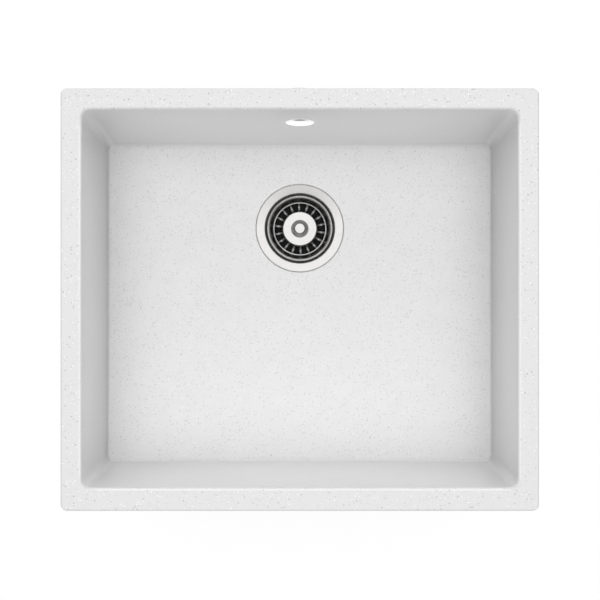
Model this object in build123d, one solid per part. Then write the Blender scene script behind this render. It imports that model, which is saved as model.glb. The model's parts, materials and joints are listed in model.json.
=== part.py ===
"""Granite composite undermount kitchen sink, with its basket strainer waste and its overflow.

Millimetres. The origin is the middle of the rim's top face, +Z is up, +Y is the rear and +X is the right.
Every piece that sits on another takes its sizes and its place from the same named values.
"""

import os
from math import atan2, cos, pi, sin, tan

from build123d import *

# Bowl and rim
rim_length = 540.0
rim_width = 477.0
rim_thickness = 12.0
rim_corner_radius = 7.0
rim_edge_rounding = 1.2
side_land = 23.5
rear_land = 24.0
front_land = 26.0
bowl_depth = 180.0
side_draw_in = 5.6
rear_draw_in = 20.2
front_draw_in = 10.0
bowl_corner_radius = 10.0
floor_rounding = 6.0
mouth_rounding = 3.0
wall_thickness = 8.0
floor_thickness = 10.0
floor_fall_radius = 9600.0  # the floor is a very flat dish that falls to the drain

# Drain seat in the floor
drain_setback = 104.3  # from the floor's rear edge forward to the drain's axis
drain_hole_radius = 46.0
seat_gap = 1.0
drain_boss_radius = 60.0
drain_boss_height = 3.0

# Threaded inserts in the rim's underside
rim_insert_radius = 3.6
rim_insert_length = 9.0
rim_insert_bore = 2.5
rear_insert_spacing = 350.0
side_insert_spacing = 240.0

# Strainer dish, pressed from sheet
flange_radius = 55.0
flange_edge_rounding = 0.5
flange_fall = 0.65  # how much lower its inner edge lies
flange_seal_thickness = 1.6
flange_seal_inset = 1.0
dish_mouth_radius = 44.4
dish_mouth_rounding = 0.6
dish_shoulder_radius = 41.8
dish_shoulder_depth = 12.0
dish_floor_radius = 37.0
dish_depth = 32.0
dish_sheet = 1.0
dish_corner_rounding = 4.0
window_count = 6
window_inner_radius = 11.0
window_outer_radius = 23.5
window_web = 5.0

# Hollow clamp screw and its nut
screw_radius = 6.0
screw_length = 36.0
screw_head_radius = 9.5
screw_head_height = 2.8
screw_head_rounding = 0.6
screw_slot_width = 2.0
screw_slot_depth = 1.0
screw_hole_clearance = 0.3
thread_clearance = 0.05
nut_across_flats = 19.0
nut_height = 8.0
nut_pocket_clearance = 0.1

# Basket cup, pressed from sheet
lip_radius = 40.5
lip_bead_radius = 0.9
lip_depth = 4.0  # from the floor's level down to the middle of the lip's bead
cup_mouth_radius = 39.0
cup_mouth_rounding = 1.2
cup_ledge_radius = 33.5
cup_ledge_depth = 14.0
cup_ledge_rounding = 0.8
bar_top_radius = 32.5
cup_corner_radius = 28.7
cup_corner_rounding = 1.3
cup_foot_radius = 26.9
cup_foot_rounding = 0.9
plateau_radius = 21.3
plateau_depth = 11.5
plateau_rounding = 1.0
cup_sheet = 0.8
bar_count = 18
bar_width = 2.3
bar_turn = -8.1  # degrees from the X axis to the first bar

# Basket hub, seal, stem, ring and knob
hub_radius = 19.5
hub_spigot_radius = 6.8
collar_gap = 0.4  # between the stem's collar and the screw's head
cup_gap = 0.4  # between the cup's bottom and the seal
turning_clearance = 0.05
end_play = 0.25
seal_radius = 33.6
seal_sheet = 1.5
seal_lip_width = 2.6
stem_radius = 4.0
stem_collar_radius = 7.5
stem_collar_height = 0.8
stem_tip_gap = 8.0
stem_tip_rounding = 1.0
ring_groove_width = 1.2
ring_groove_depth = 0.8
ring_clearance = 0.02
ring_height = 5.0  # from the stem's tip up to the ring
knob_radius = 11.1
knob_top_radius = 6.1
knob_neck_radius = 7.3
knob_neck_height = 2.2
knob_rim_height = 0.9
knob_bevel_height = 6.0
knob_rounding = 0.5

# Waste body, moulded
gasket_thickness = 3.0
gasket_inset = 1.5
body_flange_radius = 56.0
body_flange_thickness = 4.0
body_wall = 2.7
body_radius = 48.5
body_height = 39.0
body_rounding = 7.0
body_cone_height = 12.0
outlet_radius = 23.9
outlet_length = 22.0
outlet_wall = 3.4
thread_pitch = 2.3
thread_depth = 0.9
thread_turns = 7
thread_crest_share = 0.35
body_hub_radius = 14.0
body_hub_gap = 4.0
body_hub_web = 6.0
body_hub_length = 17.0
body_rib_count = 4
body_rib_thickness = 2.6
body_rib_height = 14.0
body_rib_turn = 45.0  # degrees, so that no rib stands before the overflow port

# Hose joints, the same at the elbow and at the waste body
joint_thread_radius = 13.2
joint_thread_length = 9.0
joint_bore_radius = 9.8
joint_seal_thickness = 2.0
joint_seal_clearance = 0.3
hose_collar_thickness = 2.0
union_radius = 15.4
union_rib_height = 0.6
union_rib_count = 12
union_rib_width = 2.6
union_web = 3.0
union_clearance = 0.15
union_rounding = 0.8
port_reach = 13.0
port_drop = 38.0  # from the floor's level down to the port's axis

# Overflow behind the rear wall
overflow_drop = 61.0  # from the rim down to the hole's axis, at the wall's inner face
overflow_radius = 15.0
overflow_rounding = 1.6
overflow_lip_length = 6.5
overflow_seat_radius = 24.0
pad_width = 82.0
pad_height = 56.0
pad_corner_radius = 10.0
pad_face = 11.0  # from the wall's inner face out to the pad's
overflow_gasket_thickness = 2.5
overflow_gasket_clearance = 0.3
plate_radius = 26.0
plate_thickness = 3.5
ear_spacing = 62.0
ear_radius = 7.5
elbow_radius = 18.5
elbow_wall = 2.0
elbow_rounding = 6.0
elbow_reach = 25.5  # from the wall's inner face out to the leg's axis
elbow_leg_length = 50.0
overflow_screw_radius = 2.0
overflow_screw_length = 10.0
overflow_screw_head_radius = 3.9
overflow_screw_head_height = 2.6
overflow_screw_head_rounding = 1.0
overflow_screw_cross_width = 0.9
overflow_screw_cross_length = 4.4
overflow_screw_cross_depth = 1.4
overflow_screw_clearance = 0.3
overflow_insert_radius = 3.2
overflow_insert_length = 7.0

# Corrugated hose
hose_crest_radius = 11.5
hose_valley_radius = 10.5
hose_bore_radius = 9.6
hose_cuff_radius = 11.2
hose_cuff_length = 9.0
bend_reach_share = 0.62  # how much of the shorter run the bend takes up
hose_rib_pitch = 3.6
rib_rise_share = 0.22
rib_crest_share = 0.5
rib_fall_share = 0.72

overrun = 6.0  # how far every cut runs past what it cuts

# Levels and places that follow from the sizes above
floor_level = -bowl_depth
flange_lean = atan2(flange_fall, flange_radius - dish_mouth_radius)
seat_level = floor_level - dish_sheet - flange_seal_thickness
seat_radius = flange_radius + seat_gap
underside_level = floor_level - floor_thickness - drain_boss_height
body_top = underside_level - gasket_thickness
body_shoulder = body_top - body_flange_thickness
body_foot = body_top - body_height
outlet_top = body_foot - body_cone_height
outlet_end = outlet_top - outlet_length
dish_floor_level = floor_level - dish_depth
hub_top = dish_floor_level - dish_sheet - body_hub_gap
nut_top = hub_top - body_hub_web
screw_head_top = dish_floor_level + screw_head_height
screw_end = dish_floor_level - screw_length
stem_bore = stem_radius + turning_clearance
collar_under = screw_head_top + collar_gap
seal_under = collar_under + stem_collar_height
seal_top = seal_under + seal_sheet
cup_floor_level = seal_top + cup_gap + cup_sheet
plateau_level = floor_level - plateau_depth
knob_under = plateau_level + end_play
stem_top = knob_under + knob_neck_height
stem_end = screw_end + stem_tip_gap
ring_level = stem_end + ring_height
groove_radius = stem_radius - ring_groove_depth
lip_level = floor_level - lip_depth
ledge_level = floor_level - cup_ledge_depth
half_length = rim_length / 2
half_width = rim_width / 2
drain_rear = half_width - rear_land - rear_draw_in - drain_setback
drain_place = Pos(0, drain_rear, 0)
wall_lean = atan2(rear_draw_in, bowl_depth)
overflow_rear = half_width - rear_land - rear_draw_in * overflow_drop / bowl_depth
wall_plane = Plane(
    origin=(0, overflow_rear, -overflow_drop),
    x_dir=(-1, 0, 0),
    z_dir=(0, cos(wall_lean), -sin(wall_lean)),
)
gasket_face = overflow_lip_length + overflow_gasket_thickness
plate_face = pad_face + plate_thickness
elbow_end = wall_plane.location * Pos(0, -elbow_leg_length, elbow_reach) * Rot(90, 0, 0)
port_level = floor_level - port_drop
port_end = Pos(0, drain_rear + body_radius + port_reach, port_level) * Rot(-90, 0, 0)


def outline(corners):
    """Closed outline through corners, each one (across, up) or (across, up, rounding)."""
    points = [(corner[0], corner[1]) for corner in corners]
    roundings = [corner[2] if len(corner) > 2 else 0 for corner in corners]
    return make_face(FilletPolyline(*points, radius=roundings, close=True))


def turned(*corners):
    """Solid turned around the Z axis from an outline of radii and heights."""
    return revolve(Plane.XZ * outline(corners), Axis.Z)


def sheet_turned(thickness, *corners):
    """Pressed sheet turned around the Z axis, from its upper face's open outline, listed inwards."""
    points = [(corner[0], corner[1]) for corner in corners]
    roundings = [corner[2] if len(corner) > 2 else 0 for corner in corners[1:-1]]
    face_line = FilletPolyline(*points, radius=roundings)
    section = make_face(offset(face_line, thickness, side=Side.LEFT))
    return revolve(Plane.XZ * section, Axis.Z)


def drum(radius, low, high):
    """Upright cylinder around the Z axis between two heights."""
    return Pos(0, 0, low) * Cylinder(
        radius, high - low, align=(Align.CENTER, Align.CENTER, Align.MIN)
    )


def tube(outer, inner, low, high):
    """Upright tube around the Z axis between two heights."""
    return drum(outer, low, high) - drum(inner, low - overrun, high + overrun)


def round_the_axis(count, piece, start=0):
    """Copies of a piece, evenly spaced around the Z axis."""
    return [Rot(0, 0, start + 360 * step / count) * piece for step in range(count)]


def level_rectangle(height, grow):
    """The bowl's inner outline at a height, before its corners are rounded, grown outwards."""
    share = -height / bowl_depth
    side = half_length - side_land - side_draw_in * share + grow
    rear = half_width - rear_land - rear_draw_in * share + grow
    front = half_width - front_land - front_draw_in * share + grow
    return Pos(0, (rear - front) / 2, height) * Rectangle(2 * side, rear + front)


def bowl_block(grow, top, thickness):
    """Block with the bowl's faces, grown outwards, over a bottom that lies a thickness lower."""
    bottom = floor_level - thickness - overrun
    block = loft([level_rectangle(bottom, grow), level_rectangle(top, grow)], ruled=True)
    uprights = block.edges().filter_by(lambda edge: abs(edge.tangent_at(0.5).Z) > 0.5)
    block = fillet(uprights, bowl_corner_radius + grow)
    fall = Rot(90, 0, 0) * Sphere(floor_fall_radius + thickness)
    block = block & (Pos(0, drain_rear, floor_level + floor_fall_radius) * fall)
    foot = block.faces().sort_by(Axis.Z)[0]
    return fillet(foot.edges(), floor_rounding + grow)


def rim_plate():
    """The rim as a plate, with rounded corners and edges, before the bowl is cut through it."""
    plate = extrude(RectangleRounded(rim_length, rim_width, rim_corner_radius), -rim_thickness)
    faces = plate.faces().sort_by(Axis.Z)
    return fillet(faces[-1].edges() + faces[0].edges(), rim_edge_rounding)


def rim_insert_places():
    """Places of the threaded inserts: four along front and rear, and four along the sides."""
    outer_rear = half_width - rear_land - rear_draw_in * rim_thickness / bowl_depth + wall_thickness
    outer_side = half_length - side_land - side_draw_in * rim_thickness / bowl_depth + wall_thickness
    rear = (outer_rear + half_width) / 2
    side = (outer_side + half_length) / 2
    rears = [(x, y) for x in (-rear_insert_spacing / 2, rear_insert_spacing / 2) for y in (-rear, rear)]
    sides = [(x, y) for x in (-side, side) for y in (-side_insert_spacing / 2, side_insert_spacing / 2)]
    return [Pos(x, y, -rim_thickness) for x, y in rears + sides]


def overflow_insert_places():
    """Places of the two inserts beside the overflow hole, in the wall's plane."""
    return [Pos(x, 0, 0) for x in (-ear_spacing / 2, ear_spacing / 2)]


def sink_bowl():
    """The casting: rim, walls, floor, drain seat, and the overflow's pad on the rear wall."""
    shell = rim_plate() + bowl_block(wall_thickness, -rim_thickness / 2, floor_thickness)
    shell += drain_place * drum(drain_boss_radius, underside_level, floor_level - floor_thickness / 2)
    pad = extrude(RectangleRounded(pad_width, pad_height, pad_corner_radius), pad_face - wall_thickness / 2)
    shell += wall_plane * (Pos(0, 0, wall_thickness / 2) * pad)
    shell -= bowl_block(0, overrun, 0)
    mouth = shell.faces().sort_by(Axis.Z)[-1].inner_wires()[0]
    shell = fillet(mouth.edges(), mouth_rounding)
    shell -= drain_place * drum(seat_radius, seat_level, floor_level + overrun)
    shell -= drain_place * drum(drain_hole_radius, underside_level - overrun, floor_level)
    shell -= wall_plane * drum(overflow_radius, -overrun, pad_face)
    shell -= wall_plane * drum(overflow_seat_radius, overflow_lip_length, pad_face + overrun)
    hole_edges = shell.edges().filter_by(GeomType.CIRCLE)
    shell = fillet(hole_edges.sort_by_distance(wall_plane.origin)[0], overflow_rounding)
    pocket = drum(overflow_insert_radius, pad_face - overflow_insert_length, pad_face + overrun)
    for place in overflow_insert_places():
        shell -= wall_plane * (place * pocket)
    for place in rim_insert_places():
        shell -= place * drum(rim_insert_radius, -overrun, rim_insert_length)
    return shell


def rim_inserts():
    """Threaded inserts in the underside of the rim."""
    insert = tube(rim_insert_radius, rim_insert_bore, 0, rim_insert_length)
    return [place * insert for place in rim_insert_places()]


def overflow_inserts():
    """Threaded inserts in the overflow's pad."""
    bore = overflow_screw_radius + thread_clearance
    insert = tube(overflow_insert_radius, bore, pad_face - overflow_insert_length, pad_face)
    return [wall_plane * (place * insert) for place in overflow_insert_places()]


def spokes(count, width, reach, low, high, start=0):
    """Upright webs from the Z axis out to a reach, evenly spaced."""
    web = Pos(reach / 2, 0, (low + high) / 2) * Box(reach, width, high - low)
    return round_the_axis(count, web, start)


def cut_all(body, tools):
    """A body with every tool cut out of it."""
    for tool in tools:
        body -= tool
    return body


def join_all(body, pieces):
    """A body with every piece joined to it."""
    for piece in pieces:
        body += piece
    return body


def waste_dish():
    """Pressed dish: flange that falls inwards, leaning wall, and a floor with windows."""
    dish = sheet_turned(
        dish_sheet,
        (flange_radius, floor_level),
        (dish_mouth_radius, floor_level - flange_fall, dish_mouth_rounding),
        (dish_shoulder_radius, floor_level - dish_shoulder_depth, dish_corner_rounding),
        (dish_floor_radius, dish_floor_level, dish_corner_rounding),
        (screw_radius + screw_hole_clearance, dish_floor_level),
    )
    rim = dish.edges().filter_by(GeomType.CIRCLE).sort_by(lambda edge: edge.radius + edge.center().Z)[-1]
    dish = fillet(rim, flange_edge_rounding)
    low = dish_floor_level - dish_sheet - overrun
    high = dish_floor_level + overrun
    windows = tube(window_outer_radius, window_inner_radius, low, high)
    windows = cut_all(windows, spokes(window_count, window_web, seat_radius, low - overrun, high + overrun))
    return drain_place * (dish - windows)


def flange_underside(radius):
    """Height of the flange's underside at a radius."""
    fall = flange_fall * (flange_radius - radius) / (flange_radius - dish_mouth_radius)
    return floor_level - fall - dish_sheet / cos(flange_lean)


def flange_seal():
    """Ring between the floor's seat and the dish's flange, whose slope its upper face follows."""
    outer = flange_radius - flange_seal_inset
    inner = drain_hole_radius + flange_seal_inset
    return drain_place * turned(
        (inner, seat_level),
        (outer, seat_level),
        (outer, flange_underside(outer)),
        (inner, flange_underside(inner)),
    )


def body_gasket():
    """Flat ring between the sink's underside and the waste body."""
    outer = body_flange_radius - gasket_inset
    inner = drain_hole_radius + gasket_inset
    return drain_place * tube(outer, inner, body_top, underside_level)


def clamp_screw():
    """Hollow screw through the dish's floor, which the basket's stem runs in."""
    screw = turned(
        (stem_bore, screw_head_top),
        (screw_head_radius, screw_head_top, screw_head_rounding),
        (screw_head_radius, dish_floor_level),
        (screw_radius, dish_floor_level),
        (screw_radius, screw_end),
        (stem_bore, screw_end),
    )
    slot = Pos(0, 0, screw_head_top) * Box(2 * seat_radius, screw_slot_width, 2 * screw_slot_depth)
    return drain_place * (screw - slot)


def hexagon(across_flats, low, high):
    """Upright hexagonal prism around the Z axis."""
    sketch = RegularPolygon(across_flats / 2, 6, major_radius=False)
    return Pos(0, 0, low) * extrude(sketch, high - low)


def clamp_nut():
    """Nut in the waste body's hub."""
    nut = hexagon(nut_across_flats, nut_top - nut_height, nut_top)
    bore = drum(screw_radius + thread_clearance, nut_top - nut_height - overrun, nut_top + overrun)
    return drain_place * (nut - bore)


def outlet_threads():
    """Thread ridges with flat crests on the waste body's outlet."""
    root = outlet_radius - thread_depth
    slope = thread_pitch * (1 - thread_crest_share) / 2
    ridges = []
    for turn in range(thread_turns):
        low = outlet_end + thread_pitch * (turn + 1)
        ridges.append(
            turned(
                (root - thread_depth, low),
                (root, low),
                (outlet_radius, low + slope),
                (outlet_radius, low + thread_pitch - slope),
                (root, low + thread_pitch),
                (root - thread_depth, low + thread_pitch),
            )
        )
    return ridges


def waste_body():
    """Moulded body: flange, bell, threaded outlet, hub on ribs, and the overflow's port."""
    inner = body_radius - body_wall
    root = outlet_radius - thread_depth
    bore = outlet_radius - outlet_wall
    body = turned(
        (inner, body_top),
        (body_flange_radius, body_top),
        (body_flange_radius, body_shoulder),
        (body_radius, body_shoulder),
        (body_radius, body_foot, body_rounding),
        (root, outlet_top),
        (root, outlet_end),
        (bore, outlet_end),
        (bore, outlet_top + body_wall),
        (inner, body_foot + body_wall / 2, body_rounding - body_wall),
    )
    hub = drum(body_hub_radius, hub_top - body_hub_length, hub_top)
    rib_reach = body_radius - body_wall / 2
    ribs = spokes(
        body_rib_count, body_rib_thickness, rib_reach, hub_top - body_rib_height, hub_top, body_rib_turn
    )
    body = join_all(body, [hub] + ribs + outlet_threads())
    hub_end = hub_top - body_hub_length - overrun
    body -= drum(screw_radius + screw_hole_clearance, hub_end, hub_top + overrun)
    body -= hexagon(nut_across_flats + nut_pocket_clearance, hub_end, nut_top)
    spigot_length = port_reach + body_wall
    body = drain_place * body
    body += port_end * drum(joint_thread_radius, -spigot_length, 0)
    body -= port_end * drum(joint_bore_radius, -spigot_length - overrun, overrun)
    return body


def basket_cup():
    """Pressed strainer cup: beaded lip, plain upper wall, bars down and up again, and a raised middle."""
    cup = sheet_turned(
        cup_sheet,
        (lip_radius, lip_level + cup_sheet / 2),
        (cup_mouth_radius, lip_level + cup_sheet / 2, cup_mouth_rounding),
        (cup_ledge_radius, ledge_level, cup_ledge_rounding),
        (bar_top_radius, ledge_level, cup_ledge_rounding / 2),
        (cup_corner_radius, cup_floor_level, cup_corner_rounding),
        (cup_foot_radius, cup_floor_level, cup_foot_rounding),
        (plateau_radius, plateau_level, plateau_rounding),
        (hub_spigot_radius + turning_clearance, plateau_level),
    )
    cup += Pos(0, 0, lip_level) * Torus(lip_radius, lip_bead_radius)
    low = seal_top - overrun
    high = ledge_level - 2 * cup_sheet
    windows = tube(lip_radius, plateau_radius, low, high)
    bars = spokes(bar_count, bar_width, lip_radius + overrun, low - overrun, high + overrun, bar_turn)
    return drain_place * (cup - cut_all(windows, bars))


def basket_hub():
    """Moulded hub under the cup's raised middle, with the spigot that the cup turns on."""
    top = plateau_level - cup_sheet
    return drain_place * turned(
        (stem_radius, seal_top),
        (hub_radius, seal_top),
        (hub_radius, top),
        (hub_spigot_radius, top),
        (hub_spigot_radius, knob_under),
        (stem_radius, knob_under),
    )


def basket_seal():
    """Rubber disc with a lip that stands on the dish's floor around its windows."""
    lip_inner = seal_radius - seal_lip_width
    return drain_place * turned(
        (stem_radius, seal_top),
        (seal_radius, seal_top),
        (seal_radius, dish_floor_level),
        (lip_inner, dish_floor_level),
        (lip_inner, seal_under),
        (stem_radius, seal_under),
    )


def basket_stem():
    """Steel stem with a collar under the seal, and a groove for the ring near its tip."""
    groove_low = ring_level - ring_groove_width / 2
    groove_high = ring_level + ring_groove_width / 2
    return drain_place * turned(
        (0, stem_top),
        (stem_radius, stem_top),
        (stem_radius, seal_under),
        (stem_collar_radius, seal_under),
        (stem_collar_radius, collar_under),
        (stem_radius, collar_under),
        (stem_radius, groove_high),
        (groove_radius, groove_high),
        (groove_radius, groove_low),
        (stem_radius, groove_low),
        (stem_radius, stem_end, stem_tip_rounding),
        (0, stem_end),
    )


def stem_ring():
    """Rubber ring in the stem's groove, which rubs in the hollow screw."""
    outer = stem_bore - ring_clearance
    inner = groove_radius + ring_clearance
    ring = Torus((outer + inner) / 2, (outer - inner) / 2)
    return drain_place * (Pos(0, 0, ring_level) * ring)


def basket_knob():
    """Pull knob: neck, overhanging rim, and a bevelled top."""
    rim_low = knob_under + knob_neck_height
    rim_high = rim_low + knob_rim_height
    top = rim_high + knob_bevel_height
    return drain_place * turned(
        (stem_radius, knob_under),
        (knob_neck_radius, knob_under),
        (knob_neck_radius, rim_low, knob_rounding),
        (knob_radius, rim_low, knob_rounding),
        (knob_radius, rim_high, knob_rounding),
        (knob_top_radius, top, knob_rounding),
        (0, top),
        (0, stem_top),
        (stem_radius, stem_top),
    )


def overflow_gasket():
    """Rubber ring in the seat behind the overflow hole."""
    outer = overflow_seat_radius - overflow_gasket_clearance
    inner = overflow_radius + overflow_gasket_clearance
    return wall_plane * tube(outer, inner, overflow_lip_length, gasket_face)


def overflow_elbow():
    """Moulded elbow: nose in the seat, plate with two ears, round housing and threaded leg."""
    ears = SlotCenterToCenter(ear_spacing, 2 * ear_radius)
    plate = Pos(0, 0, pad_face) * extrude(Circle(plate_radius) + ears, plate_thickness)
    far_end = elbow_reach + joint_thread_radius
    housing = turned(
        (0, pad_face),
        (elbow_radius, pad_face),
        (elbow_radius, far_end, elbow_rounding),
        (0, far_end),
    )
    nose = drum(overflow_seat_radius - overflow_gasket_clearance, gasket_face, plate_face)
    leg_place = Pos(0, 0, elbow_reach) * Rot(90, 0, 0)
    elbow = plate + housing + nose + leg_place * drum(joint_thread_radius, 0, elbow_leg_length)
    elbow -= turned(
        (0, gasket_face - overrun),
        (elbow_radius - elbow_wall, gasket_face - overrun),
        (elbow_radius - elbow_wall, far_end - elbow_wall, elbow_rounding - elbow_wall),
        (0, far_end - elbow_wall),
    )
    elbow -= leg_place * drum(joint_bore_radius, 0, elbow_leg_length + overrun)
    hole = drum(overflow_screw_radius + overflow_screw_clearance, pad_face - overrun, plate_face + overrun)
    return wall_plane * cut_all(elbow, [place * hole for place in overflow_insert_places()])


def overflow_screws():
    """Pan-head screws with a cross recess, through the elbow's ears."""
    head_top = plate_face + overflow_screw_head_height
    screw = turned(
        (0, head_top),
        (overflow_screw_head_radius, head_top, overflow_screw_head_rounding),
        (overflow_screw_head_radius, plate_face),
        (overflow_screw_radius, plate_face),
        (overflow_screw_radius, plate_face - overflow_screw_length),
        (0, plate_face - overflow_screw_length),
    )
    for length, width in (
        (overflow_screw_cross_length, overflow_screw_cross_width),
        (overflow_screw_cross_width, overflow_screw_cross_length),
    ):
        screw -= Pos(0, 0, head_top) * Box(length, width, 2 * overflow_screw_cross_depth)
    return [wall_plane * (place * screw) for place in overflow_insert_places()]


def joint_seal(place):
    """Flat ring between a spigot's end and the hose's collar."""
    outer = joint_thread_radius - joint_seal_clearance
    return place * tube(outer, joint_bore_radius, 0, joint_seal_thickness)


def union_nut(place):
    """Moulded nut with grip ribs, which draws the hose's collar onto a spigot."""
    collar_end = joint_seal_thickness + hose_collar_thickness
    end = collar_end + union_web
    nut = turned(
        (joint_thread_radius + union_clearance, -joint_thread_length),
        (union_radius, -joint_thread_length),
        (union_radius, end, union_rounding),
        (hose_crest_radius + joint_seal_clearance, end),
        (hose_crest_radius + joint_seal_clearance, collar_end),
        (joint_thread_radius + union_clearance, collar_end),
    )
    rib_height = union_rib_height + union_rounding
    rib = Pos(union_radius + union_rib_height - rib_height / 2, 0, -union_rounding / 2) * Box(
        rib_height, union_rib_width, end + joint_thread_length - union_rounding
    )
    rib = Pos(0, 0, (end - joint_thread_length) / 2) * rib
    return place * join_all(nut, round_the_axis(union_rib_count, rib))


def hose_line():
    """The hose's middle line: down along the rear wall, one bend, and forward into the port."""
    start = (elbow_end * Pos(0, 0, joint_seal_thickness)).position
    end = (port_end * Pos(0, 0, joint_seal_thickness)).position
    down = (start.Z - end.Z) / cos(wall_lean)
    forward = start.Y - down * sin(wall_lean) - end.Y
    turn = pi / 2 - wall_lean
    bend = bend_reach_share * min(down, forward) / tan(turn / 2)
    corner = (0, end.Y + forward, end.Z)
    return FilletPolyline(start, corner, end, radius=[bend])


def overflow_hose():
    """Corrugated hose with its bore, and a collar at each end."""
    line = hose_line()
    ribbed = line.length - 2 * hose_cuff_length
    count = round(ribbed / hose_rib_pitch)
    pitch = ribbed / count
    stations = [(0, hose_cuff_radius), (hose_cuff_length - pitch / 2, hose_cuff_radius)]
    for rib in range(count):
        low = hose_cuff_length + rib * pitch
        stations.append((low, hose_valley_radius))
        stations.append((low + rib_rise_share * pitch, hose_crest_radius))
        stations.append((low + rib_crest_share * pitch, hose_crest_radius))
        stations.append((low + rib_fall_share * pitch, hose_valley_radius))
    stations.append((line.length - hose_cuff_length + pitch / 2, hose_cuff_radius))
    stations.append((line.length, hose_cuff_radius))
    rings = []
    for distance, radius in stations:
        share = distance / line.length
        station = Plane(origin=line @ share, x_dir=(1, 0, 0), z_dir=line % share)
        rings.append(station * Circle(radius))
    hose = loft(rings, ruled=True)
    collar_radius = joint_thread_radius - joint_seal_clearance
    for place in (elbow_end, port_end):
        collar_end = joint_seal_thickness + hose_collar_thickness
        hose += place * drum(collar_radius, joint_seal_thickness, collar_end)
    start = Plane(origin=line @ 0, x_dir=(1, 0, 0), z_dir=line % 0)
    bore = sweep(start * Circle(hose_bore_radius), path=line)
    print("hose length", line.length, "ribs", count)
    return hose - bore


def make_all():
    """Every node's solids by its name."""
    return {
        "sink_bowl": sink_bowl(),
        "rim_inserts": rim_inserts(),
        "overflow_inserts": overflow_inserts(),
        "waste_dish": waste_dish(),
        "flange_seal": flange_seal(),
        "body_gasket": body_gasket(),
        "clamp_screw": clamp_screw(),
        "clamp_nut": clamp_nut(),
        "waste_body": waste_body(),
        "basket_cup": basket_cup(),
        "basket_hub": basket_hub(),
        "basket_seal": basket_seal(),
        "basket_stem": basket_stem(),
        "stem_ring": stem_ring(),
        "basket_knob": basket_knob(),
        "overflow_gasket": overflow_gasket(),
        "overflow_elbow": overflow_elbow(),
        "overflow_screws": overflow_screws(),
        "overflow_hose": overflow_hose(),
        "elbow_hose_seal": joint_seal(elbow_end),
        "elbow_union_nut": union_nut(elbow_end),
        "port_hose_seal": joint_seal(port_end),
        "port_union_nut": union_nut(port_end),
    }


if __name__ == "__main__":
    os.makedirs("parts", exist_ok=True)
    for name, solids in make_all().items():
        shape = Compound(solids) if isinstance(solids, list) else solids
        export_step(shape, f"parts/{name}.step")
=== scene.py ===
"""Looks of the granite sink: speckled composite, stainless steel, moulded plastics and rubber.

Metres, in the part's own frame: the origin is the middle of the rim's top face, +Z up, +Y to the
rear. Greys are linear, from 0 to 1.
"""

import json

import bpy
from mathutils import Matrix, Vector


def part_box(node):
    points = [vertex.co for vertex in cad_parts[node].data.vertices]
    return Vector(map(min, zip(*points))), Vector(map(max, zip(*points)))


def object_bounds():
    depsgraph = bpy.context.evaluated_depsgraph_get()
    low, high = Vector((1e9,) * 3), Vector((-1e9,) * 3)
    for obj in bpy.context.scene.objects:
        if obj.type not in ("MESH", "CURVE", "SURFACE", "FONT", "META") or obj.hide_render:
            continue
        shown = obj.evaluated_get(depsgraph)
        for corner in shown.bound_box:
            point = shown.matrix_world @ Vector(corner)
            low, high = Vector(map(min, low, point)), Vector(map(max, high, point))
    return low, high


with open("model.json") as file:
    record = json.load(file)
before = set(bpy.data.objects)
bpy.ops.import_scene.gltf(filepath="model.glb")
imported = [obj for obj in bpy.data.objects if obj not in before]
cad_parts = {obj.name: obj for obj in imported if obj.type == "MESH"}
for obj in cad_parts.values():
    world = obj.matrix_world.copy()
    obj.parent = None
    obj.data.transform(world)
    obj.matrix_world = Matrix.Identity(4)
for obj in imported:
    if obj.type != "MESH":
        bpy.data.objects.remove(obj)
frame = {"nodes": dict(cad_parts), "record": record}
cad_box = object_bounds()

# Places that the materials follow, from the frame
bowl_low, bowl_high = (Vector(corner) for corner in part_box("sink_bowl"))
dish_low, dish_high = (Vector(corner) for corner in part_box("waste_dish"))
gasket_low, gasket_high = (Vector(corner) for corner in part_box("overflow_gasket"))
drain_centre = (dish_low + dish_high) / 2
overflow_centre = (gasket_low + gasket_high) / 2

# Photograph's camera, straight above the rim's middle
PHOTO_PIXELS = 600
RIM_LENGTH_PIXELS = 478.6
RIM_MIDDLE_ACROSS = 299.3
RIM_MIDDLE_DOWN = 299.0
IMAGE_MIDDLE = 299.5
CAMERA_HEIGHT = 1.513
SENSOR_MM = 36.0
metres_per_pixel = (bowl_high.x - bowl_low.x) / RIM_LENGTH_PIXELS
frame_width = PHOTO_PIXELS * metres_per_pixel

# The middle of a noise's values, which most patterns spread out
MIDDLE = (0.3, 0.7)

# Granite: its greys, and the shares with which they are mixed in
CLOUD_SPAN = (0.35, 0.65)
CLOUD_GREYS = (0.765, 0.785)
GRAIN_SPAN = (0.35, 0.75)
GRAIN_GREY = 0.70
GRAIN_SHARE = 0.35
RIM_GREY = 0.655
WALL_GREY = 0.755
WALL_SHARE = 0.7
SIDE_SHADE_GREY = 0.40
SIDE_SHADE = 0.58
# Painted shade along the rim's outer edges, at both ends and the front
OUTER_EDGE_SHADE_GREY = 0.38
OUTER_EDGE_SHADE_SHARE = 0.6
# Painted highlight along the rim's inner edge at the sides and the front, none at the rear
MOUTH_HIGHLIGHT_GREY = 0.96
MOUTH_HIGHLIGHT_SHARE = 0.38
# Overflow bore: painted white, and a painted glow
BORE_PAINTED_WHITE = 0.93
BORE_PAINTED_GLOW = 0.45
GRANITE_ROUGHNESS = (0.20, 0.26)

# Granite: flecks as cells per metre, radius as a share of a cell, share of the cells, and grey
DARK_FLECKS = ((330.0, 0.34, 0.26, 0.64), (480.0, 0.34, 0.26, 0.52))
RIM_FLECKS = (420.0, 0.42, 0.11, 0.44)
PALE_FLECKS = (430.0, 0.30, 0.28, 0.88)
FLECK_RAG = 0.0012
FLECK_RAG_SCALE = 2.5
SMALLEST_FLECK_SHARE = 0.4

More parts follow.
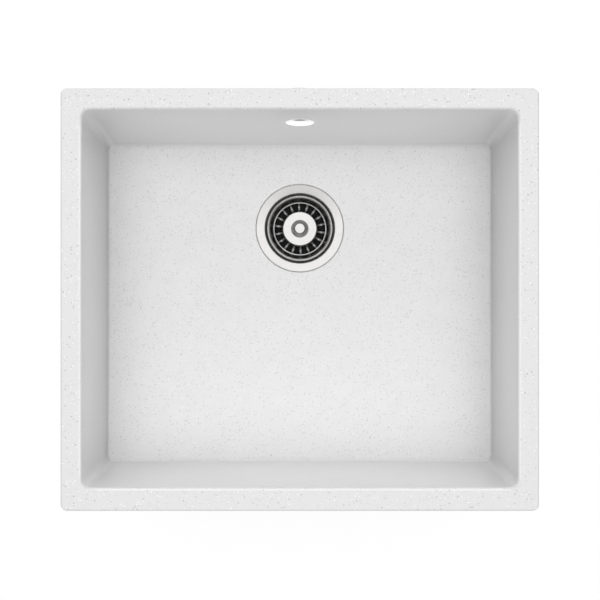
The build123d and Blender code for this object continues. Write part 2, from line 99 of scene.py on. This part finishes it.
# Granite: heights and distances from the origin, and the widths of its bands
RIM_SKIN = 0.002
WALL_SLOPE = 20.2 / 180.0  # the rear wall's draw-in over the bowl's depth
SIDE_WALL = (0.236, 0.240)
SHADE_DEPTHS = (-0.02, -0.176)
SHADE_POWER = 1.5
WALL_FACING = (0.3, 0.8)
OUTER_EDGE = (0.0003, 0.0016)
MOUTH_SIDE = 0.2465
MOUTH_FRONT = -0.2125
MOUTH_REAR = 0.2145
MOUTH_DEPTH = 0.003
MOUTH_HIGHLIGHT_BAND = (0.0004, 0.0014, 0.0024, 0.0036)
HIGHLIGHT_FADE_FRONT = (0.004, 0.016)
HIGHLIGHT_FADE_REAR = (0.03, 0.008)
HIGHLIGHT_FADE_SIDE = (0.02, 0.006)
OVERFLOW_REACH = 0.0166
OVERFLOW_NEAR = 0.03

# Steel: greys, heights below which a piece is rougher and takes a painted tone (painted shade on
# the knob and basket, a paler painted sheen on the dish), and the radii of the strainer cup's wall
# painted dark as shade
STEEL_GREY = 0.84
DISH_GREY = 0.82
STEEL_WARMTH = 0.012
STEEL_ROUGHNESS = (0.10, 0.145)
SMUDGE_DARKER = 0.96
SMUDGE_WARMTH = 0.016
KNOB_BEVEL_TOP = -0.1826
CUP_BARS_TOP = -0.1955
DISH_MOUTH = -0.1815
DULL_AND_PAINTED_FADE = 0.001
# Strainer cup's wall painted dark as shade
CUP_PAINTED_SHADE = (0.0338, 0.0396)
CUP_PAINTED_SHADE_FADES = (0.0006, 0.002)
CUP_PAINTED_SHADE_GREY = 0.20
RING_STRETCH = 0.6

# Other pieces: how a surface varies, as shares of its own grey or roughness
METAL_DARKER = 0.82
METAL_ROUGHER = (0.8, 1.3)
PLASTIC_DARKER = 0.93
PLASTIC_ROUGHER = (0.9, 1.15)
DUST_SPAN = (0.45, 0.75)
DUST_PALER = 1.7
RUBBER_ROUGHNESS = (0.7, 0.9)

# Studio: the floor, the sky that lights the sink, and the room that camera and polished metal see
FLOOR_HALF = 4.0
FLOOR_DROP = 0.001
FLOOR_GREY = 0.95
FLOOR_WHITE_SHARE = 0.88
OVERHEAD_LEVEL = 4.28
OVERHEAD_FROM = 0.78
OVERHEAD_POWER = 2.0
REAR_LEVEL = 2.48
FRONT_LEVEL = 1.46
SIDE_LEVEL = 0.55
RING_HEIGHTS = (0.05, 0.5, 0.9)
ROOM_DARK = 0.15
ROOM_WHITE_BELOW = (0.25, 0.45)
CEILING_HEIGHTS = (0.75, 0.95)
CEILING_REARWARD = (-0.09, 0.03)
CEILING_FRONT_SHARE = 0.5


def place_camera():
    """The camera looks straight down, with the rear wall at the top of the frame."""
    data = bpy.data.cameras.new("photo_camera")
    data.sensor_width = SENSOR_MM
    data.lens = SENSOR_MM * CAMERA_HEIGHT / frame_width
    data.clip_start = 0.01
    data.clip_end = 50
    camera = bpy.data.objects.new("photo_camera", data)
    across = (IMAGE_MIDDLE - RIM_MIDDLE_ACROSS) * metres_per_pixel
    up = (RIM_MIDDLE_DOWN - IMAGE_MIDDLE) * metres_per_pixel
    camera.location = (across, up, CAMERA_HEIGHT)
    bpy.context.scene.collection.objects.link(camera)
    bpy.context.scene.camera = camera


class Nodes:
    """Short way to build one node tree: a new material's, or one that is given."""

    def __init__(self, name, tree=None):
        if tree is None:
            self.material = bpy.data.materials.new(name)
            self.material.use_nodes = True
            tree = self.material.node_tree
        self.tree = tree
        self.tree.nodes.clear()

    def add(self, kind, inputs=None, **settings):
        """A node with its settings, and its inputs set to values or linked from sockets."""
        node = self.tree.nodes.new(kind)
        for key, value in settings.items():
            setattr(node, key, value)
        for key, value in (inputs or {}).items():
            if isinstance(value, bpy.types.NodeSocket):
                self.tree.links.new(value, node.inputs[key])
            else:
                node.inputs[key].default_value = value
        return node

    def math(self, operation, first, second=0.0, third=0.0):
        """Socket with the result of one math operation."""
        inputs = {0: first, 1: second, 2: third}
        return self.add("ShaderNodeMath", inputs, operation=operation).outputs[0]

    def mix(self, share, first, second):
        """Socket with one colour mixed into another."""
        inputs = {0: share, 6: first, 7: second}
        return self.add("ShaderNodeMix", inputs, data_type="RGBA").outputs[2]

    def place(self, move=(0, 0, 0)):
        """Socket with the piece's own coordinates in metres, moved."""
        coordinates = self.add("ShaderNodeTexCoord").outputs["Object"]
        return self.add("ShaderNodeMapping", {"Vector": coordinates, "Location": move}).outputs[0]

    def split(self, vector):
        """The three sockets of a vector's parts."""
        return self.add("ShaderNodeSeparateXYZ", {0: vector}).outputs

    def noise(self, vector, scale, detail=2.0, roughness=0.5):
        """Socket with a noise value from 0 to 1."""
        inputs = {"Vector": vector, "Scale": scale, "Detail": detail, "Roughness": roughness}
        return self.add("ShaderNodeTexNoise", inputs).outputs["Fac"]

    def spread(self, value, low, high, low_out=0.0, high_out=1.0):
        """Socket with a value spread from one range to another and clamped there."""
        inputs = {0: value, 1: low, 2: high, 3: low_out, 4: high_out}
        return self.add("ShaderNodeMapRange", inputs).outputs[0]

    def band(self, value, start, full_from, full_to, end):
        """Mask of a band of values, soft at both ends."""
        rise = self.spread(value, start, full_from)
        return self.math("MULTIPLY", rise, self.spread(value, full_to, end, 1.0, 0.0))

    def bump(self, height, distance, strength):
        """Socket with a normal raised by a height."""
        inputs = {"Height": height, "Distance": distance, "Strength": strength}
        return self.add("ShaderNodeBump", inputs).outputs[0]

    def output(self, kind, socket):
        """The tree's output node, linked."""
        self.tree.links.new(socket, self.add(kind).inputs[0])

    def finish(self, **inputs):
        """The material, with a Principled shader made from the given inputs."""
        named = {key.replace("_", " "): value for key, value in inputs.items()}
        shader = self.add("ShaderNodeBsdfPrincipled", named).outputs[0]
        self.output("ShaderNodeOutputMaterial", shader)
        return self.material


def grey(value, warmth=0.0):
    """A grey colour, a little warmer or cooler."""
    return (value * (1 + warmth), value, value * (1 - warmth), 1.0)


def flecks(nodes, vector, scale, radius, kept):
    """Mask of small ragged flecks: one in some of the cells of a pattern."""
    inputs = {"Vector": vector, "Scale": scale * FLECK_RAG_SCALE, "Detail": 2.0}
    ragged = nodes.add("ShaderNodeTexNoise", inputs).outputs["Color"]
    inputs = {0: ragged, 1: (FLECK_RAG,) * 3, 2: vector}
    vector = nodes.add("ShaderNodeVectorMath", inputs, operation="MULTIPLY_ADD").outputs[0]
    cells = nodes.add("ShaderNodeTexVoronoi", {"Vector": vector, "Scale": scale})
    chance = nodes.add("ShaderNodeSeparateColor", {0: cells.outputs["Color"]})
    size = nodes.spread(chance.outputs[1], 0.0, 1.0, SMALLEST_FLECK_SHARE * radius, radius)
    inside = nodes.math("LESS_THAN", cells.outputs["Distance"], size)
    chosen = nodes.math("LESS_THAN", chance.outputs[0], kept)
    return nodes.math("MULTIPLY", inside, chosen)


def speckled_body(nodes, vector, grain, rim):
    """Socket with the composite's own colour: soft clouds, fine grain, a greyer rim, and flecks."""
    cloud = nodes.noise(vector, scale=45.0, detail=3.0)
    body = nodes.mix(nodes.spread(cloud, *CLOUD_SPAN), *(grey(value) for value in CLOUD_GREYS))
    body = nodes.mix(nodes.spread(grain, *GRAIN_SPAN, 0.0, GRAIN_SHARE), body, grey(GRAIN_GREY))
    body = nodes.mix(rim, body, grey(RIM_GREY))
    for scale, radius, kept, value in DARK_FLECKS:
        body = nodes.mix(flecks(nodes, vector, scale, radius, kept), body, grey(value))
    scale, radius, kept, value = RIM_FLECKS
    on_rim = nodes.math("MULTIPLY", flecks(nodes, vector, scale, radius, kept), rim)
    body = nodes.mix(on_rim, body, grey(value))
    scale, radius, kept, value = PALE_FLECKS
    return nodes.mix(flecks(nodes, vector, scale, radius, kept), body, grey(value))


def shaded_walls(nodes, body, outward, up):
    """Socket with the walls' plainer colour, and the side walls' shade that deepens downwards."""
    facing = nodes.split(nodes.add("ShaderNodeTexCoord").outputs["Normal"])[2]
    wall = nodes.spread(facing, *WALL_FACING, 1.0, 0.0)
    body = nodes.mix(nodes.math("MULTIPLY", wall, WALL_SHARE), body, grey(WALL_GREY))
    deep = nodes.math("POWER", nodes.spread(up, *SHADE_DEPTHS), SHADE_POWER)
    side = nodes.math("MULTIPLY", nodes.spread(outward, *SIDE_WALL), wall)
    shade = nodes.math("MULTIPLY", nodes.math("MULTIPLY", side, deep), SIDE_SHADE)
    return nodes.mix(shade, body, grey(SIDE_SHADE_GREY))


def edged_rim(nodes, body, outward, back, up):
    """Socket with painted shade along the rim's outer edges at both ends and the front, and a
    painted highlight on its inner edge.
    """
    # Painted shade: the outer edges at both ends and at the front are darker
    thin, wide = OUTER_EDGE
    ends = nodes.spread(outward, bowl_high.x - wide, bowl_high.x - thin)
    front = nodes.spread(back, bowl_low.y + thin, bowl_low.y + wide, 1.0, 0.0)
    edge_shade = nodes.math("MULTIPLY", nodes.math("MAXIMUM", ends, front), OUTER_EDGE_SHADE_SHARE)
    body = nodes.mix(edge_shade, body, grey(OUTER_EDGE_SHADE_GREY))
    # Painted highlight on the inner edge
    highlight = nodes.math("MULTIPLY", mouth_highlight(nodes, outward, back, up), MOUTH_HIGHLIGHT_SHARE)
    return nodes.mix(highlight, body, grey(MOUTH_HIGHLIGHT_GREY))


def mouth_highlight(nodes, outward, back, up):
    """Mask of the painted highlight on the edge where the rim rounds into the side walls and front
    wall.
    """
    sides = nodes.band(nodes.math("SUBTRACT", outward, MOUTH_SIDE), *MOUTH_HIGHLIGHT_BAND)
    front = nodes.band(nodes.math("SUBTRACT", MOUTH_FRONT, back), *MOUTH_HIGHLIGHT_BAND)
    front_start, front_full = (MOUTH_FRONT + step for step in HIGHLIGHT_FADE_FRONT)
    rear_full, rear_end = (MOUTH_REAR - step for step in HIGHLIGHT_FADE_REAR)
    side_full, side_end = (MOUTH_SIDE - step for step in HIGHLIGHT_FADE_SIDE)
    along_sides = nodes.band(back, front_start, front_full, rear_full, rear_end)
    sides = nodes.math("MULTIPLY", sides, along_sides)
    front = nodes.math("MULTIPLY", front, nodes.spread(outward, side_full, side_end, 1.0, 0.0))
    above = nodes.math("GREATER_THAN", up, -MOUTH_DEPTH)
    return nodes.math("MULTIPLY", nodes.math("MAXIMUM", sides, front), above)


def around_overflow(nodes):
    """Socket with the distance from the overflow hole's axis in metres, near the hole."""
    centre = overflow_centre
    across, back, up = nodes.split(nodes.place(move=(-centre.x, -centre.y, -centre.z)))
    along = nodes.math("MULTIPLY_ADD", back, WALL_SLOPE, up)
    squares = nodes.math("MULTIPLY_ADD", along, along, nodes.math("MULTIPLY", across, across))
    near = nodes.math("LESS_THAN", nodes.math("ABSOLUTE", back), OVERFLOW_NEAR)
    return nodes.math("ADD", nodes.math("SQRT", squares), nodes.math("SUBTRACT", 1.0, near))


def granite_material():
    """White quartz composite: pale body, fine flecks, plainer walls, and an overflow bore painted
    white with a painted glow.
    """
    nodes = Nodes("granite")
    vector = nodes.place()
    across, back, up = nodes.split(vector)
    outward = nodes.math("ABSOLUTE", across)
    grain = nodes.noise(vector, scale=900.0)
    rim = nodes.math("GREATER_THAN", up, -RIM_SKIN)
    body = speckled_body(nodes, vector, grain, rim)
    body = shaded_walls(nodes, body, outward, up)
    body = edged_rim(nodes, body, outward, back, up)
    # The overflow bore is painted light: a whiter colour and a glow
    bore = nodes.math("LESS_THAN", around_overflow(nodes), OVERFLOW_REACH)
    skin = nodes.noise(vector, scale=1300.0, detail=3.0, roughness=0.6)
    return nodes.finish(
        Base_Color=nodes.mix(bore, body, grey(BORE_PAINTED_WHITE)),
        Roughness=nodes.spread(grain, *MIDDLE, *GRANITE_ROUGHNESS),
        Specular_IOR_Level=0.5,
        Emission_Color=grey(1.0),
        Emission_Strength=nodes.math("MULTIPLY", bore, BORE_PAINTED_GLOW),
        Normal=nodes.bump(skin, distance=0.00008, strength=0.5),
    )


def around_drain(nodes):
    """Sockets with coordinates from the drain's axis, the distance from it, and the height."""
    vector = nodes.place(move=(-drain_centre.x, -drain_centre.y, 0))
    across, back, up = nodes.split(vector)
    squares = nodes.math("MULTIPLY_ADD", back, back, nodes.math("MULTIPLY", across, across))
    return vector, nodes.math("SQRT", squares), up


def stainless_material(name, value, dull_and_painted_below, painted_tone_value, dull_roughness, painted_shade_wall=None):
    """Pressed stainless steel with fine polishing rings, light smudges, and below a height a
    rougher finish with a painted tone: painted shade on the knob and basket, a paler painted sheen
    on the dish.

    A wall painted dark as shade, given by its inner and outer radius.
    """
    nodes = Nodes(name)
    vector, distance, up = around_drain(nodes)
    smudge = nodes.noise(vector, scale=60.0, detail=4.0)
    clean = grey(value, STEEL_WARMTH)
    smudged = grey(value * SMUDGE_DARKER, SMUDGE_WARMTH)
    colour = nodes.mix(nodes.spread(smudge, *MIDDLE), clean, smudged)
    rough = nodes.spread(smudge, *MIDDLE, *STEEL_ROUGHNESS)
    # Below the height: rougher, and a painted tone, darker as painted shade or paler as a painted
    # sheen
    dull_and_painted = nodes.spread(up, dull_and_painted_below - DULL_AND_PAINTED_FADE, dull_and_painted_below, 1.0, 0.0)
    colour = nodes.mix(dull_and_painted, colour, grey(painted_tone_value))
    rough = nodes.math("MULTIPLY_ADD", dull_and_painted, dull_roughness, rough)
    # The cup's wall is painted dark as shade
    if painted_shade_wall is not None:
        inner, outer = painted_shade_wall
        inner_fade, outer_fade = CUP_PAINTED_SHADE_FADES
        wall = nodes.band(distance, inner, inner + inner_fade, outer - outer_fade, outer)
        colour = nodes.mix(wall, colour, grey(CUP_PAINTED_SHADE_GREY))
    stretched = nodes.math("MULTIPLY", up, RING_STRETCH)
    round_axis = nodes.add("ShaderNodeCombineXYZ", {0: distance, 1: stretched}).outputs[0]
    rings = nodes.noise(round_axis, scale=2600.0, detail=3.0)
    return nodes.finish(
        Base_Color=colour,
        Metallic=1.0,
        Roughness=rough,
        Normal=nodes.bump(rings, distance=0.00001, strength=0.35),
    )


def metal_material(name, colour, roughness):
    """Machined metal with fine tool marks."""
    nodes = Nodes(name)
    vector = nodes.place()
    marks = nodes.noise(vector, scale=1800.0)
    tint = nodes.noise(vector, scale=160.0, detail=3.0)
    darker = tuple(channel * METAL_DARKER for channel in colour)
    smooth, rough = (roughness * share for share in METAL_ROUGHER)
    return nodes.finish(
        Base_Color=nodes.mix(nodes.spread(tint, *MIDDLE), (*colour, 1.0), (*darker, 1.0)),
        Metallic=1.0,
        Roughness=nodes.spread(tint, *MIDDLE, smooth, rough),
        Normal=nodes.bump(marks, distance=0.00001, strength=0.4),
    )


def plastic_material(name, value, roughness, warmth=0.0):
    """Moulded plastic with a faint spark-eroded texture."""
    nodes = Nodes(name)
    vector = nodes.place()
    texture = nodes.noise(vector, scale=2200.0)
    flow = nodes.noise(vector, scale=35.0)
    darker = grey(value * PLASTIC_DARKER, warmth)
    smooth, rough = (roughness * share for share in PLASTIC_ROUGHER)
    return nodes.finish(
        Base_Color=nodes.mix(nodes.spread(flow, *MIDDLE), grey(value, warmth), darker),
        Roughness=nodes.spread(flow, *MIDDLE, smooth, rough),
        Normal=nodes.bump(texture, distance=0.00002, strength=0.4),
    )


def rubber_material(name, value):
    """Matt rubber with a dusty, slightly uneven skin."""
    nodes = Nodes(name)
    vector = nodes.place()
    dust = nodes.noise(vector, scale=250.0, detail=4.0)
    return nodes.finish(
        Base_Color=nodes.mix(nodes.spread(dust, *DUST_SPAN), grey(value), grey(value * DUST_PALER)),
        Roughness=nodes.spread(dust, *MIDDLE, *RUBBER_ROUGHNESS),
        Specular_IOR_Level=0.2,
        Normal=nodes.bump(dust, distance=0.00003, strength=0.4),
    )


def make_materials():
    """Materials by the name of a slot, or of the one piece that has its own."""
    return {
        "granite": granite_material(),
        "basket_knob": stainless_material(
            "knob_steel", STEEL_GREY, KNOB_BEVEL_TOP, painted_tone_value=0.74, dull_roughness=0.3
        ),
        "basket_cup": stainless_material(
            "basket_steel",
            STEEL_GREY,
            CUP_BARS_TOP,
            painted_tone_value=0.62,
            dull_roughness=0.16,
            painted_shade_wall=CUP_PAINTED_SHADE,
        ),
        "waste_dish": stainless_material(
            "dish_steel", DISH_GREY, DISH_MOUTH, painted_tone_value=0.9, dull_roughness=0.35
        ),
        "steel": metal_material("steel", (0.60, 0.60, 0.60), roughness=0.3),
        "brass": metal_material("brass", (0.80, 0.60, 0.28), roughness=0.3),
        "light_plastic": plastic_material("light_plastic", 0.70, roughness=0.42, warmth=0.004),
        "dark_plastic": plastic_material("dark_plastic", 0.045, roughness=0.45),
        "hose_plastic": plastic_material("hose_plastic", 0.42, roughness=0.40),
        "black_rubber": rubber_material("black_rubber", 0.009),
        "grey_rubber": rubber_material("grey_rubber", 0.16),
    }


def dress(materials):
    """Give each CAD node its own material, or the one of its slot."""
    slots = {entry["node"]: entry["material_slot"] for entry in frame["record"]["subparts"]}
    for node, piece in frame["nodes"].items():
        piece.data.materials.clear()
        piece.data.materials.append(materials.get(node) or materials[slots[node]])


def studio_floor():
    """White floor that keeps the sink's soft shadow and shows white to the camera."""
    half = FLOOR_HALF
    height = cad_box[0][2] - FLOOR_DROP
    corners = [(-half, -half), (half, -half), (half, half), (-half, half)]
    mesh = bpy.data.meshes.new("studio_floor")
    mesh.from_pydata([(x, y, height) for x, y in corners], [], [(0, 1, 2, 3)])
    floor = bpy.data.objects.new("studio_floor", mesh)
    bpy.context.scene.collection.objects.link(floor)
    nodes = Nodes("studio_floor")
    diffuse = nodes.add("ShaderNodeBsdfDiffuse", {"Color": grey(FLOOR_GREY)}).outputs[0]
    white = nodes.add("ShaderNodeEmission", {"Color": grey(1.0), "Strength": 1.0}).outputs[0]
    share = nodes.math("MULTIPLY", seen_ray(nodes), FLOOR_WHITE_SHARE)
    surface = nodes.add("ShaderNodeMixShader", {0: share, 1: diffuse, 2: white}).outputs[0]
    nodes.output("ShaderNodeOutputMaterial", surface)
    mesh.materials.append(nodes.material)


def seen_ray(nodes):
    """Socket that is 1 for camera, glossy and transmission rays."""
    path = nodes.add("ShaderNodeLightPath")
    seen = nodes.math("MAXIMUM", path.outputs["Is Camera Ray"], path.outputs["Is Glossy Ray"])
    return nodes.math("MAXIMUM", seen, path.outputs["Is Transmission Ray"])


def light_studio():
    """Sky with a soft light overhead, a bright rear, a weaker front and dim sides.

    The camera and polished metal see a plainer room: white overhead and low down, dark between.
    """
    world = bpy.data.worlds.new("studio")
    bpy.context.scene.world = world
    world.use_nodes = True
    nodes = Nodes("studio", world.node_tree)
    across, back, up = nodes.split(nodes.add("ShaderNodeTexCoord").outputs["Generated"])
    flat = nodes.math("MULTIPLY_ADD", back, back, nodes.math("MULTIPLY", across, across))
    rearward = nodes.math("DIVIDE", back, nodes.math("SQRT", nodes.math("MAXIMUM", flat, 0.0001)))
    above = nodes.math("POWER", nodes.spread(up, OVERHEAD_FROM, 1.0), OVERHEAD_POWER)
    ring_from, ring_top, ring_to = RING_HEIGHTS
    ring = nodes.band(up, ring_from, ring_top, ring_top, ring_to)
    rear = nodes.spread(rearward, 0.0, 1.0, SIDE_LEVEL, REAR_LEVEL)
    front = nodes.spread(rearward, -1.0, 0.0, FRONT_LEVEL - SIDE_LEVEL, 0.0)
    ring = nodes.math("MULTIPLY", ring, nodes.math("ADD", rear, front))
    sky = nodes.math("MULTIPLY_ADD", above, OVERHEAD_LEVEL, ring)
    ceiling_share = nodes.spread(back, *CEILING_REARWARD, CEILING_FRONT_SHARE, 1.0)
    ceiling = nodes.math("MULTIPLY", nodes.spread(up, *CEILING_HEIGHTS), ceiling_share)
    room = nodes.math("MAXIMUM", nodes.spread(up, *ROOM_WHITE_BELOW, 1.0, ROOM_DARK), ceiling)
    strength = nodes.math("MULTIPLY_ADD", seen_ray(nodes), nodes.math("SUBTRACT", room, sky), sky)
    background = nodes.add("ShaderNodeBackground", {"Color": grey(1.0), "Strength": strength})
    nodes.output("ShaderNodeOutputWorld", background.outputs[0])


dress(make_materials())
place_camera()
light_studio()
studio_floor()

bpy.context.scene.view_settings.view_transform = "Standard"
